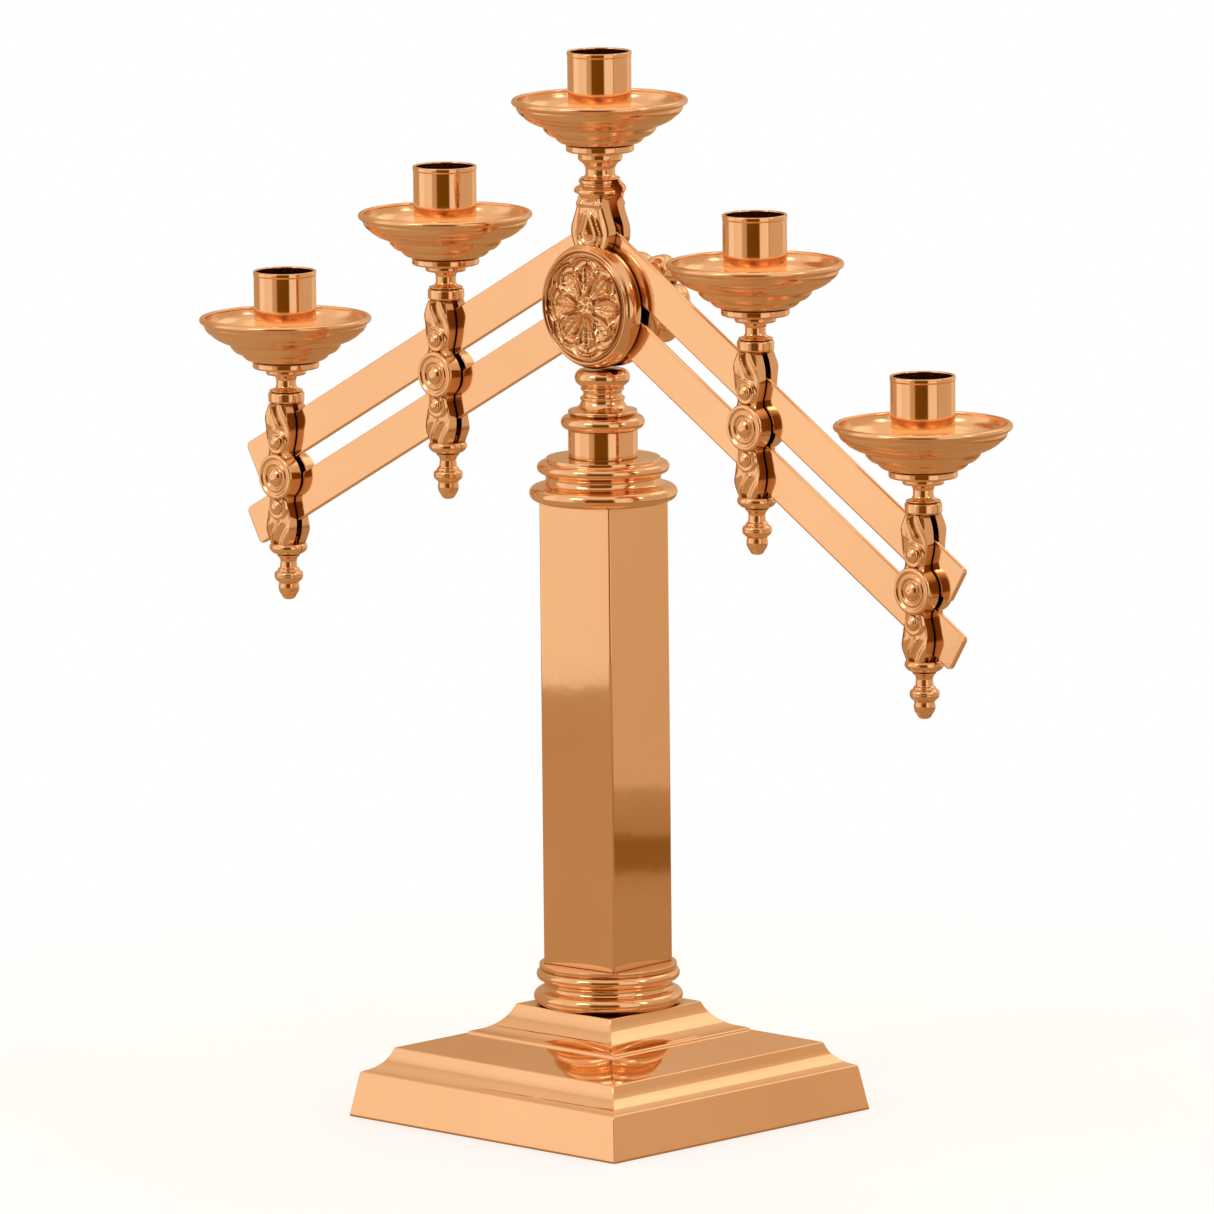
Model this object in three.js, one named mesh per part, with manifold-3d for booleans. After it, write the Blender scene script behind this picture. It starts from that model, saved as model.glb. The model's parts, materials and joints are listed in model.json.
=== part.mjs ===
// Five-light adjustable altar candelabra in polished brass, millimetres, +Z up.
// The origin is on the table under the middle of the base. The arms lie along X, the
// medallion faces -Y. Each side has two parallel bars, so its lights stay upright.
import * as THREE from "three";
import { mergeVertices } from "three/addons/utils/BufferGeometryUtils.js";
import Module from "manifold-3d";

const wasm = await Module();
wasm.setup();

// ---- driving dimensions ----

const GAP = 0.3; // left between pieces that touch

const BASE_SIDE = 152.4;
const BASE_HEIGHT = 46.5;
const BASE_WALL = 3.5;

const COLUMN_SIDE = 38.1;
const COLUMN_WALL = 2;
const COLUMN_LENGTH = 192.9;
const COLUMN_TURN = 4; // degrees that the column stands turned on its rod

const LOWER_COLLAR_HEIGHT = 17.1;
const UPPER_COLLAR_HEIGHT = 18;
const SLEEVE_HEIGHT = 11.5;
const ROD_RADIUS = 4;
const ROD_HOLE = 4.6;

const PIVOT_SPACING = 27.5; // between the upper and the lower bar of a side
const LOWER_PIVOT_Z = 337.5;
const UPPER_PIVOT_Z = LOWER_PIVOT_Z + PIVOT_SPACING;
const DRUM_RADIUS = 26.2;
const HUB_SLOT = 2.4; // half of the slot that holds the bars of both sides

const BAR_WIDTH = 16.8;
const BAR_THICKNESS = 2;
const BAR_END = 234.5; // hub pivot to the square outer end
const INNER_LIGHT = 103.5; // hub pivot to the inner light's pivot
const OUTER_LIGHT = 212;
const LEFT_DROOP = 28.7; // degrees below level
const RIGHT_DROOP = 32;
const LAYER = 1.1; // the left bars lie this far behind the middle, the right bars in front

const HANGER_SLOT = 1.6; // half of the slot between the two castings
const HANGER_FACE = 6.6; // outer face of a casting
const ROUNDEL_FACE = 8; // outer edge of its roundel
const CAP_TOP = 21; // above the upper pivot
const CAP_BOTTOM = 16.3;
const FOOT_TOP = -43.4;
const FOOT_BOTTOM = -48;
const CAP_RADIUS = 7.6;
const ROUNDEL_RADIUS = 10;
const ROUNDEL_Z = -14.6;

const PIN_RADIUS = 1.6;
const PIN_HOLE = 1.9;
const STUD_RADIUS = 2.5;
const STUD_HOLE = 2.85;

const PAN_RADIUS = 36.2;
const SIDE_RIM = 51.6; // rim of a side pan above the upper pivot
const CENTER_RIM_Z = 421.5;
const CUP_RADIUS = 13.1;
const CUP_BORE = 12;
const CUP_TOP = 20.6; // above the rim of its pan

const FINE = 16; // facets round the larger turned pieces
const PLAIN = 12;
const SMALL = 10;

// ---- solids ----

const UP = new THREE.Matrix4().makeRotationX(Math.PI / 2); // drawing plane to X-Z

function solid(geometry) {
  const bare = geometry.clone();
  bare.deleteAttribute("normal");
  bare.deleteAttribute("uv");
  const merged = mergeVertices(bare, 1e-3);
  const index = merged.index.array;
  const kept = [];
  for (let i = 0; i < index.length; i += 3) {
    const [a, b, c] = index.slice(i, i + 3);
    if (a !== b && b !== c && c !== a) kept.push(a, b, c);
  }
  const make = (corners) =>
    new wasm.Manifold(
      new wasm.Mesh({
        numProp: 3,
        vertProperties: new Float32Array(merged.attributes.position.array),
        triVerts: new Uint32Array(corners),
      })
    );
  const body = make(kept);
  return body.volume() > 0 ? body : make(kept.reverse());
}

// A turned piece about Z. The profile is a list of [radius, height].
function turned(profile, facets) {
  const points = profile.map(([r, z]) => new THREE.Vector2(r, z));
  return solid(new THREE.LatheGeometry(points, facets).applyMatrix4(UP));
}

// The same profile carried round a square: each radius is half of the side.
function square(profile) {
  const points = profile.map(([half, z]) => new THREE.Vector2(half * Math.SQRT2, z));
  return solid(new THREE.LatheGeometry(points, 4, Math.PI / 4).applyMatrix4(UP));
}

// A piece turned about the line through (0, height) along Y: [radius, y] pairs.
function turnedY(profile, facets, height = 0) {
  const points = profile.map(([r, y]) => new THREE.Vector2(r, y));
  const geometry = new THREE.LatheGeometry(points, facets);
  return solid(geometry.translate(0, 0, height));
}

function plate(shape, front, back) {
  const geometry = new THREE.ExtrudeGeometry(shape, {
    depth: back - front,
    bevelEnabled: false,
    curveSegments: 5,
  });
  return solid(geometry.applyMatrix4(UP).translate(0, back, 0));
}

function rodY(radius, front, back, x = 0, z = 0, facets = SMALL) {
  const geometry = new THREE.CylinderGeometry(radius, radius, back - front, facets);
  return solid(geometry.translate(x, (front + back) / 2, z));
}

function rodZ(radius, bottom, top, facets = SMALL) {
  const geometry = new THREE.CylinderGeometry(radius, radius, top - bottom, facets);
  return solid(geometry.applyMatrix4(UP).translate(0, 0, (bottom + top) / 2));
}

function block(xs, ys, zs) {
  const size = [xs, ys, zs].map(([low, high]) => high - low);
  const middle = [xs, ys, zs].map(([low, high]) => (low + high) / 2);
  return solid(new THREE.BoxGeometry(...size).translate(...middle));
}

function joined(...bodies) {
  return bodies.reduce((all, body) => all.add(body));
}

function without(body, ...cutters) {
  return cutters.reduce((rest, cutter) => rest.subtract(cutter), body);
}

// Points of an arc between two profile points, bulging by sag to the right of the way there.
function arc([r0, z0], [r1, z1], sag, steps = 4) {
  const points = [];
  for (let i = 0; i <= steps; i++) {
    const t = i / steps;
    const bulge = 4 * sag * t * (1 - t);
    const length = Math.hypot(r1 - r0, z1 - z0);
    const r = r0 + (r1 - r0) * t + (bulge * (z1 - z0)) / length;
    const z = z0 + (z1 - z0) * t - (bulge * (r1 - r0)) / length;
    points.push([r, z]);
  }
  return points;
}

// ---- finishes ----

const FINISHES = {
  polished: { color: 0xd9985f, roughness: 0.12, metalness: 1 },
  cast: { color: 0xc98850, roughness: 0.28, metalness: 1 },
  steel: { color: 0xa9abad, roughness: 0.4, metalness: 1 },
};

function piece(name, body, finish) {
  const { vertProperties, triVerts } = body.getMesh();
  const geometry = new THREE.BufferGeometry();
  geometry.setAttribute("position", new THREE.BufferAttribute(vertProperties, 3));
  geometry.setIndex(new THREE.BufferAttribute(triVerts, 1));
  const mesh = new THREE.Mesh(geometry, new THREE.MeshStandardMaterial(FINISHES[finish]));
  mesh.name = name;
  return mesh;
}

// ---- stand ----

function base() {
  const outside = [
    [BASE_SIDE / 2, 0],
    [BASE_SIDE / 2 - 3.1, 17.8],
    ...arc([71.8, 19], [63.2, 27.6], -1.7),
    [62.7, 28.6],
    [41.6, 34],
    [41.2, 35],
    ...arc([40.4, 35.3], [27.4, 45.6], -2.6, 5),
    [27.1, BASE_HEIGHT],
  ];
  const inside = [
    [ROD_HOLE, BASE_HEIGHT],
    [ROD_HOLE, BASE_HEIGHT - BASE_WALL],
    [24, BASE_HEIGHT - BASE_WALL],
    [34, 33],
    [38, 30.6],
    [58.5, 25.2],
    [67, 17],
    [BASE_SIDE / 2 - BASE_WALL, 0],
  ];
  return piece("base", square([...outside, ...inside, outside[0]]), "polished");
}

// Two beads with a cove between them, and a hole for the rod.
function collar(name, bottom, height, lower, cove, upper, disc) {
  const top = bottom + height;
  const split = [bottom + 0.36 * height, bottom + 0.62 * height];
  const profile = [
    [ROD_HOLE, bottom],
    ...arc([lower - 2.6, bottom], [lower - 2.6, split[0]], 2.6),
    ...arc([cove, split[0] + 0.2], [cove, split[1] - 0.2], -0.6, 2),
    ...arc([upper - 2, split[1]], [upper - 2, top - 1.2], 2),
    [disc, top - 0.8],
    [disc, top],
    [ROD_HOLE, top],
    [ROD_HOLE, bottom],
  ];
  return piece(name, turned(profile, FINE), "polished");
}

function column(bottom) {
  const outer = COLUMN_SIDE / 2;
  const inner = outer - COLUMN_WALL;
  const top = bottom + COLUMN_LENGTH;
  const profile = [[outer, bottom], [outer, top], [inner, top], [inner, bottom], [outer, bottom]];
  const mesh = piece("column", square(profile), "polished");
  mesh.rotation.z = THREE.MathUtils.degToRad(COLUMN_TURN);
  return mesh;
}

function neckSleeve(bottom) {
  const top = bottom + SLEEVE_HEIGHT;
  const outer = 14.3;
  const inner = 11.5;
  const profile = [[outer, bottom], [outer, top], [inner, top], [inner, bottom], [outer, bottom]];
  return piece("neck_sleeve", turned(profile, FINE), "polished");
}

// Ring, tapered cap, neck and bead, with a tang that stands in the slot of the hub.
function hubFoot(bottom) {
  const drumBottom = LOWER_PIVOT_Z - DRUM_RADIUS;
  const profile = [
    [0, bottom + 14],
    [ROD_HOLE, bottom + 14],
    [ROD_HOLE, bottom],
    ...arc([14.6, bottom], [14.6, bottom + 6.2], 2.6),
    [14, bottom + 6.4],
    ...arc([14, bottom + 7.8], [8.3, bottom + 11.6], -1.2, 3),
    [8.2, bottom + 17.8],
    ...arc([9.4, bottom + 18.4], [9.4, drumBottom - GAP], 1.9),
    [0, drumBottom - GAP],
  ];
  const tang = block([-4.5, 4.5], [2 * GAP - HUB_SLOT, HUB_SLOT - 2 * GAP], [drumBottom - 1, 318]);
  return piece("hub_foot", joined(turned(profile, PLAIN), tang), "polished");
}

function tieRod(top) {
  return piece("tie_rod", rodZ(ROD_RADIUS, 32, top), "steel");
}

function baseWasher() {
  const top = BASE_HEIGHT - BASE_WALL - GAP;
  const ring = [[ROD_HOLE, top - 1.5], [14, top - 1.5], [14, top], [ROD_HOLE, top]];
  return piece("base_washer", turned([...ring, ring[0]], PLAIN), "steel");
}

function baseNut() {
  const top = BASE_HEIGHT - BASE_WALL - 1.5 - 2 * GAP;
  const hexagon = rodZ(7.5, top - 6, top, 6);
  const hole = rodZ(ROD_HOLE, top - 7, top + 1);
  return piece("base_nut", without(hexagon, hole), "steel");
}

// ---- hub ----

// Leaf above the drum: narrow under the cap, widest over the pivot.
function hubLeaf() {
  const shape = new THREE.Shape();
  shape.moveTo(-8, UPPER_PIVOT_Z - 12);
  shape.lineTo(8, UPPER_PIVOT_Z - 12);
  shape.lineTo(9.6, UPPER_PIVOT_Z - 3);
  shape.quadraticCurveTo(12.4, UPPER_PIVOT_Z + 5, 7.4, UPPER_PIVOT_Z + 13);
  shape.lineTo(7.2, UPPER_PIVOT_Z + 17);
  shape.lineTo(-7.2, UPPER_PIVOT_Z + 17);
  shape.lineTo(-7.4, UPPER_PIVOT_Z + 13);
  shape.quadraticCurveTo(-12.4, UPPER_PIVOT_Z + 5, -9.6, UPPER_PIVOT_Z - 3);
  return shape;
}

// One half of the hub on the -Y side of the slot. The profile of the middle of the drum's
// face is given, because the front has a boss there and the rear has a seat for the clamp.
function hubHalf(middle) {
  const drum = turnedY(
    [
      [0, -HUB_SLOT],
      [25.4, -HUB_SLOT],
      ...arc([25.4, -HUB_SLOT], [24.6, -10], 1.1, 3).slice(1),
      [23.6, -10.9],
      [22.4, -10.2],
      [21.6, -9.4],
      [7, -9.4],
      ...middle,
    ],
    FINE,
    LOWER_PIVOT_Z
  );
  const leaf = plate(hubLeaf(), -8.4, -HUB_SLOT);
  const capBottom = UPPER_PIVOT_Z + 16;
  const capTop = capBottom + 8.4;
  const cap = turned(
    [
      [0, capBottom],
      [8.6, capBottom],
      [11.2, capBottom + 3.4],
      [9, capBottom + 5.6],
      [9, capTop],
      [0, capTop],
    ],
    PLAIN
  );
  const behind = block([-20, 20], [-HUB_SLOT, 20], [capBottom - 1, capTop + 1]);
  const half = joined(drum, leaf, without(cap, behind));
  const pinHole = rodY(PIN_HOLE, -7, 0, 0, UPPER_PIVOT_Z);
  return without(half, pinHole);
}

function hubFront() {
  const boss = [[5, -10.6], [3, -12], [0, -12.3]];
  const studHole = rodY(STUD_HOLE, -8, 0, 0, LOWER_PIVOT_Z);
  return piece("hub_front", without(hubHalf(boss), studHole), "cast");
}

function hubRear() {
  const boss = [[9, -10], [9, -14], [0, -14]];
  const studHole = rodY(STUD_HOLE, -20, 0, 0, LOWER_PIVOT_Z);
  const mesh = piece("hub_rear", without(hubHalf(boss), studHole), "cast");
  mesh.rotation.z = Math.PI;
  return mesh;
}

function hubUpperPin() {
  return piece("hub_upper_pin", rodY(PIN_RADIUS, -6.7, 6.7, 0, UPPER_PIVOT_Z), "polished");
}

function clampStud() {
  return piece("clamp_stud", rodY(STUD_RADIUS, -7.7, 29, 0, LOWER_PIVOT_Z), "steel");
}

function clampWasher() {
  const ring = [[STUD_HOLE, 14.3], [STUD_HOLE, 15.5], [8.5, 15.5], [8.5, 14.3]];
  return piece("clamp_washer", turnedY([...ring, ring[0]], PLAIN, LOWER_PIVOT_Z), "polished");
}

// Knob with six round lobes on a short neck, threaded on the stud.
function clampKnob() {
  const neck = turnedY([[0, 15.8], [8, 15.8], [6.5, 19], [8.5, 24], [0, 24]], PLAIN);
  const lobes = [];
  for (let i = 0; i < 6; i++) {
    const turn = (i * Math.PI) / 3;
    const lobe = new THREE.SphereGeometry(7.2, SMALL, 6);
    lobe.scale(1, 0.95, 1).translate(12.6 * Math.cos(turn), 28.5, 12.6 * Math.sin(turn));
    lobes.push(solid(lobe));
  }
  const middle = turnedY([[0, 22.6], [10, 23], [12, 28.5], [9, 34], [4, 35.6], [0, 36]], PLAIN);
  const hole = rodY(STUD_HOLE, 15, 30);
  const mesh = piece("clamp_knob", without(joined(neck, middle, ...lobes), hole), "cast");
  mesh.position.z = LOWER_PIVOT_Z;
  return mesh;
}

// ---- light: stem, drip pan and candle cup, heights from the rim of the pan ----

const PAN_FLOOR = -16.1;

function dripPan(name) {
  const under = [
    [0, -17.4],
    [14.1, -17.4],
    [18, -15.8],
    [18.6, -14.1],
    [22.8, -12.1],
    [23.8, -9.9],
    ...arc([31.5, -6.1], [35.4, -0.9], 0.4, 2),
  ];
  const rim = [[PAN_RADIUS, 0], [35.6, 1.2], [34.6, 0.9]];
  const inside = [
    ...arc([33.6, -1.2], [30.4, -4.8], -0.3, 2),
    [23, -8.6],
    [22, -10.9],
    [17.8, -12.8],
    [17.2, -14.5],
    [13.8, PAN_FLOOR],
    [0, PAN_FLOOR],
  ];
  return piece(name, turned([...under, ...rim, ...inside], FINE), "polished");
}

function candleCup(name) {
  const floor = PAN_FLOOR + GAP;
  const profile = [
    [0, floor],
    [CUP_RADIUS, floor],
    [CUP_RADIUS, CUP_TOP - 1.4],
    [CUP_RADIUS + 0.4, CUP_TOP - 0.9],
    [CUP_RADIUS + 0.4, CUP_TOP],
    [CUP_BORE, CUP_TOP],
    [CUP_BORE, floor + 1.5],
    [0, floor + 1.5],
  ];
  return piece(name, turned(profile, FINE), "polished");
}

const SEAT = [[0, -17.7], [14, -17.7], [14, -20.7], [9.1, -21.3]];

function sideStem(name) {
  const end = CAP_TOP - SIDE_RIM;
  const profile = [
    ...SEAT,
    [9.1, -22.2],
    ...arc([8.2, -24.2], [4.15, -27.4], 0.7, 3),
    ...arc([4.15, -28.4], [CAP_RADIUS - 0.6, end + GAP], 0.4, 3),
    [2.4, end + GAP],
    [2.4, end - 3.5],
    [0, end - 3.5],
  ];
  return piece(name, turned(profile, PLAIN), "polished");
}

function centerStem() {
  const end = UPPER_PIVOT_Z + 24.4 + GAP - CENTER_RIM_Z;
  const profile = [
    ...SEAT,
    [9.1, -22.4],
    ...arc([8.6, -24.2], [6.1, -27.6], 0.6, 3),
    ...arc([6.1, -29.8], [8.2, end], 0.4, 3),
    [0, end],
  ];
  const tang = block([-4.5, 4.5], [2 * GAP - HUB_SLOT, HUB_SLOT - 2 * GAP], [end - 6.4, end + 1]);
  return piece("center_stem", joined(turned(profile, PLAIN), tang), "polished");
}

// ---- hanger: heights from its upper pivot, Y from the middle of its bars ----

function hangerOutline() {
  const side = new THREE.Path();
  side.moveTo(4.4, CAP_BOTTOM + 1);
  side.bezierCurveTo(3.4, 10, 7.4, 6, 6.9, 0);
  side.quadraticCurveTo(6.6, -3, 5.6, -4.4);
  const lower = new THREE.Path();
  lower.moveTo(5.6, -24.8);
  lower.quadraticCurveTo(6.9, -27, 6.5, -PIVOT_SPACING - 1.5);
  lower.bezierCurveTo(5.6, -34, 3.6, -36, 4.4, FOOT_TOP - 1);
  const right = [...side.getPoints(3), ...lower.getPoints(3)];
  const left = right.map((p) => new THREE.Vector2(-p.x, p.y)).reverse();
  return new THREE.Shape([...right, ...left]);
}

// One casting, on the -Y side of the bars.
function hangerHalf() {
  const leaves = plate(hangerOutline(), -HANGER_FACE, -HANGER_SLOT);
  const roundel = turnedY(
    [
      [0, -HANGER_SLOT],
      [ROUNDEL_RADIUS, -HANGER_SLOT],
      [ROUNDEL_RADIUS - 0.5, -ROUNDEL_FACE],
      [6, -ROUNDEL_FACE],
      [3.4, -ROUNDEL_FACE - 1.2],
      [0, -ROUNDEL_FACE - 1.2],
    ],
    PLAIN,
    ROUNDEL_Z
  );
  const cap = rodZ(CAP_RADIUS, CAP_BOTTOM, CAP_TOP, PLAIN);
  const foot = turned(
    [
      [0, FOOT_BOTTOM],
      [5, FOOT_BOTTOM],
      [CAP_RADIUS, FOOT_BOTTOM + 2.4],
      [CAP_RADIUS, FOOT_TOP],
      [0, FOOT_TOP],
    ],
    PLAIN
  );
  const behind = block([-20, 20], [-GAP / 2, 20], [FOOT_BOTTOM - 1, CAP_TOP + 1]);
  const ends = without(joined(cap, foot), behind);
  const studHoles = joined(
    rodZ(2.8, CAP_BOTTOM - 1, CAP_TOP + 1),
    rodZ(2.8, FOOT_BOTTOM - 1, FOOT_TOP + 1)
  );
  const pinHoles = joined(
    rodY(PIN_HOLE, -HANGER_FACE - 1, 0, 0, 0),
    rodY(PIN_HOLE, -HANGER_FACE - 1, 0, 0, -PIVOT_SPACING)
  );
  return without(joined(leaves, roundel, ends), studHoles, pinHoles);
}

function pivotPin(name, z) {
  const profile = [
    [0, -HANGER_FACE - 2.2],
    [2, -HANGER_FACE - 1.8],
    [3.2, -HANGER_FACE - GAP],
    [PIN_RADIUS, -HANGER_FACE - GAP],
    [PIN_RADIUS, HANGER_FACE + 0.3],
    [0, HANGER_FACE + 0.3],
  ];
  return piece(name, turnedY(profile, SMALL, z), "cast");
}

function finial(name) {
  const top = FOOT_BOTTOM - GAP;
  const profile = [
    [0, FOOT_TOP - 1],
    [2.4, FOOT_TOP - 1],
    [2.4, top],
    [4.8, top],
    [3.4, top - 2],
    [3.4, top - 4.6],
    ...arc([4.2, top - 5], [4.2, top - 10.2], -1.7),
    [4.7, top - 11.4],
    ...arc([4.5, top - 13.6], [0, top - 18.9], -1.1, 3),
  ];
  return piece(name, turned(profile, SMALL), "cast");
}

function lightOnArm(name) {
  const group = new THREE.Group();
  const front = piece(`${name}_front_casting`, hangerHalf(), "cast");
  const rear = piece(`${name}_rear_casting`, hangerHalf(), "cast");
  rear.rotation.z = Math.PI;
  const top = new THREE.Group();
  top.position.z = SIDE_RIM;
  top.add(sideStem(`${name}_stem`), dripPan(`${name}_pan`), candleCup(`${name}_cup`));
  group.add(
    front,
    rear,
    pivotPin(`${name}_upper_pin`, 0),
    pivotPin(`${name}_lower_pin`, -PIVOT_SPACING),
    finial(`${name}_finial`),
    top
  );
  return group;
}

// ---- arms ----

// Flat bar with a round inner end, a square outer end with eased corners, and three holes.
function bar(name, hubHole) {
  const half = BAR_WIDTH / 2;
  const ease = 2.5;
  const shape = new THREE.Shape();
  shape.absarc(0, 0, half, Math.PI / 2, (3 * Math.PI) / 2);
  shape.absarc(BAR_END - ease, ease - half, ease, -Math.PI / 2, 0);
  shape.absarc(BAR_END - ease, half - ease, ease, 0, Math.PI / 2);
  const flat = plate(shape, -BAR_THICKNESS / 2, BAR_THICKNESS / 2);
  const holes = joined(
    rodY(hubHole, -5, 5),
    rodY(PIN_HOLE, -5, 5, INNER_LIGHT),
    rodY(PIN_HOLE, -5, 5, OUTER_LIGHT)
  );
  return piece(name, without(flat, holes), "polished");
}

// Both bars of a side and the two lights that hang on them.
function arm(side, droop, layer) {
  const group = new THREE.Group();
  const fall = THREE.MathUtils.degToRad(droop);
  const toward = side === "left" ? -1 : 1;
  const upper = bar(`${side}_upper_bar`, PIN_HOLE);
  const lower = bar(`${side}_lower_bar`, STUD_HOLE);
  upper.position.z = UPPER_PIVOT_Z;
  lower.position.z = LOWER_PIVOT_Z;
  for (const flat of [upper, lower]) flat.rotation.y = side === "left" ? Math.PI - fall : fall;
  group.add(upper, lower);
  for (const [place, reach] of [["inner", INNER_LIGHT], ["outer", OUTER_LIGHT]]) {
    const light = lightOnArm(`${side}_${place}`);
    light.position.x = toward * reach * Math.cos(fall);
    light.position.z = UPPER_PIVOT_Z - reach * Math.sin(fall);
    group.add(light);
  }
  group.position.y = layer;
  return group;
}

// ---- assembly ----

const candelabra = new THREE.Group();

const columnBottom = BASE_HEIGHT + LOWER_COLLAR_HEIGHT;
const columnTop = columnBottom + COLUMN_LENGTH;
const sleeveBottom = columnTop + UPPER_COLLAR_HEIGHT;
const footBottom = sleeveBottom + SLEEVE_HEIGHT;

candelabra.add(
  base(),
  collar("lower_collar", BASE_HEIGHT, LOWER_COLLAR_HEIGHT, 30.8, 26.7, 29.6, 28.4),
  column(columnBottom),
  collar("upper_collar", columnTop, UPPER_COLLAR_HEIGHT, 30.5, 24, 27.3, 23.5),
  neckSleeve(sleeveBottom),
  hubFoot(footBottom),
  tieRod(footBottom + 13),
  baseWasher(),
  baseNut(),
  hubFront(),
  hubRear(),
  hubUpperPin(),
  clampStud(),
  clampWasher(),
  clampKnob(),
  arm("left", LEFT_DROOP, LAYER),
  arm("right", RIGHT_DROOP, -LAYER)
);

const centerLight = new THREE.Group();
centerLight.position.z = CENTER_RIM_Z;
centerLight.add(centerStem(), dripPan("center_pan"), candleCup("center_cup"));
candelabra.add(centerLight);

export default candelabra;
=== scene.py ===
"""Looks of the five-light adjustable altar candelabra, built round its CAD frame."""

import json
import math

import bmesh
import bpy
from mathutils import Matrix, Vector


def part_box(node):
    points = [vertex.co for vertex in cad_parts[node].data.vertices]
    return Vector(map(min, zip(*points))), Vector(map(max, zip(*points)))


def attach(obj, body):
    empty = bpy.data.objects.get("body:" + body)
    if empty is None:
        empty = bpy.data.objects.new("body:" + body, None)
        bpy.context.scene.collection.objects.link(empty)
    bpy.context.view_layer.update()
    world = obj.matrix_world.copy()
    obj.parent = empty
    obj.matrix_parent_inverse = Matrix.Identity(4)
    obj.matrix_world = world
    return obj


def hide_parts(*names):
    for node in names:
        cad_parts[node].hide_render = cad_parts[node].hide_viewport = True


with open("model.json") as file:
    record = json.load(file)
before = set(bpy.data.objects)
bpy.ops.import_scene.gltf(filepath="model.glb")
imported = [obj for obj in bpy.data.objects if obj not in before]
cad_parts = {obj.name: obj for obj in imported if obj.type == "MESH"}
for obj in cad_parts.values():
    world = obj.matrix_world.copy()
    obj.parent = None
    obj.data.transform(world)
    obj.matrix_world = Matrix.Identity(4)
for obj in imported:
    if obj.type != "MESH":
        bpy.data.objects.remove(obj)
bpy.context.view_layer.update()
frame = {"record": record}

# ---- measures: shapes are drawn in millimetres, places come from the frame in metres ----

MM = 0.001
FINE = 128  # facets round the larger turned pieces
PLAIN = 72
EASE = 0.35  # how far a plain corner is rounded
ROD_HOLE = 4.6
THREAD_PITCH = 1.25

COLUMN_HALF = 19.05
COLUMN_WALL = 2
COLUMN_TURN = math.radians(4)  # the column stands a little turned on its base

CAMERA_AZIMUTH = math.radians(44.08)
CAMERA_ELEVATION = math.radians(9.115)
CAMERA_ROLL = math.radians(-0.57)
CAMERA_DISTANCE = 5.517
CAMERA_LENS = 397.7
CAMERA_AIM = Vector((0.0007, 0.0007, 0.2119))
SENSOR_WIDTH = 36

BODY = {}
for body_name, members in frame["record"]["behaviour"]["bodies"].items():
    for member in members:
        BODY[member] = body_name


def middle(node):
    low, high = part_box(node)
    return (low + high) / 2 / MM


def length_along_y(node):
    low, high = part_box(node)
    return (high.y - low.y) / MM


def foot(node):
    """Middle of the node's underside."""
    point = middle(node)
    point.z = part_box(node)[0].z / MM
    return point


def crown(node):
    """Middle of the node's top."""
    point = middle(node)
    point.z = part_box(node)[1].z / MM
    return point


# ---- profiles ----


def bowed(start, end, sag):
    """Points after start on a circular arc to end, bulging by sag to the right of the way there."""
    chord = (end - start).length
    half = 2 * math.atan(2 * abs(sag) / chord)
    radius = chord / 2 / math.sin(half)
    count = max(3, math.ceil(2 * half * radius / 0.5), math.ceil(half / 0.13))
    along = (end - start).normalized()
    right = Vector((along.y, -along.x)) * math.copysign(1, sag)
    points = []
    for i in range(1, count + 1):
        turn = half * (2 * i / count - 1)
        out = radius * (math.cos(turn) - math.cos(half))
        points.append((start + end) / 2 + along * radius * math.sin(turn) + right * out)
    return points


def rounded(points, closed, ease):
    """The same line with its sharp corners cut to small curves."""
    count = len(points)
    result = []
    for i, point in enumerate(points):
        if not closed and i in (0, count - 1):
            result.append(point)
            continue
        before = points[i - 1] - point
        after = points[(i + 1) % count] - point
        bend = math.pi - before.angle(after)
        if bend < 0.3:
            result.append(point)
            continue
        cut = min(ease, 0.45 * before.length, 0.45 * after.length)
        start = point + before.normalized() * cut
        end = point + after.normalized() * cut
        for t in (0, 0.25, 0.5, 0.75, 1):
            result.append(start.lerp(point, t).lerp(point.lerp(end, t), t))
    return result


def held(points, closed):
    """The same line with a point near each end of its long straight stretches."""
    result = []
    last = len(points) if closed else len(points) - 1
    for i, point in enumerate(points):
        result.append(point)
        if i >= last:
            break
        end = points[(i + 1) % len(points)]
        length = (end - point).length
        if length > 1.2:
            result.append(point.lerp(end, 0.25 / length))
            result.append(end.lerp(point, 0.25 / length))
    return result


def profile(*steps, ease=EASE):
    """A dense line from steps of (radius, height) and (radius, height, sag). It closes on itself
    unless both ends are on the axis."""
    points = [Vector(steps[0][:2])]
    for step in steps[1:]:
        end = Vector(step[:2])
        if len(step) == 3:
            points += bowed(points[-1], end, step[2])
        else:
            points.append(end)
    closed = points[0].x > 0 or points[-1].x > 0
    return held(rounded(points, closed, ease), closed)


def sharp(*points):
    """A line with just these points and no eased corners."""
    return [Vector(point) for point in points]


# ---- solids, in millimetres ----


def loft(rings, ends="open"):
    """A closed solid through rings of equally many points. The ends are capped, joined to each
    other, or left alone where they have shrunk to a point."""
    solid = bmesh.new()
    rows = [[solid.verts.new(point) for point in ring] for ring in rings]
    pairs = list(zip(rows, rows[1:]))
    if ends == "joined":
        pairs.append((rows[-1], rows[0]))
    for low, high in pairs:
        for i in range(len(low)):
            j = (i + 1) % len(low)
            solid.faces.new((low[i], low[j], high[j], high[i]))
    if ends == "capped":
        solid.faces.new(rows[0][::-1])
        solid.faces.new(rows[-1])
    bmesh.ops.remove_doubles(solid, verts=solid.verts, dist=1e-4)
    bmesh.ops.recalc_face_normals(solid, faces=solid.faces)
    mesh = bpy.data.meshes.new("solid")
    solid.to_mesh(mesh)
    solid.free()
    return mesh


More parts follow.
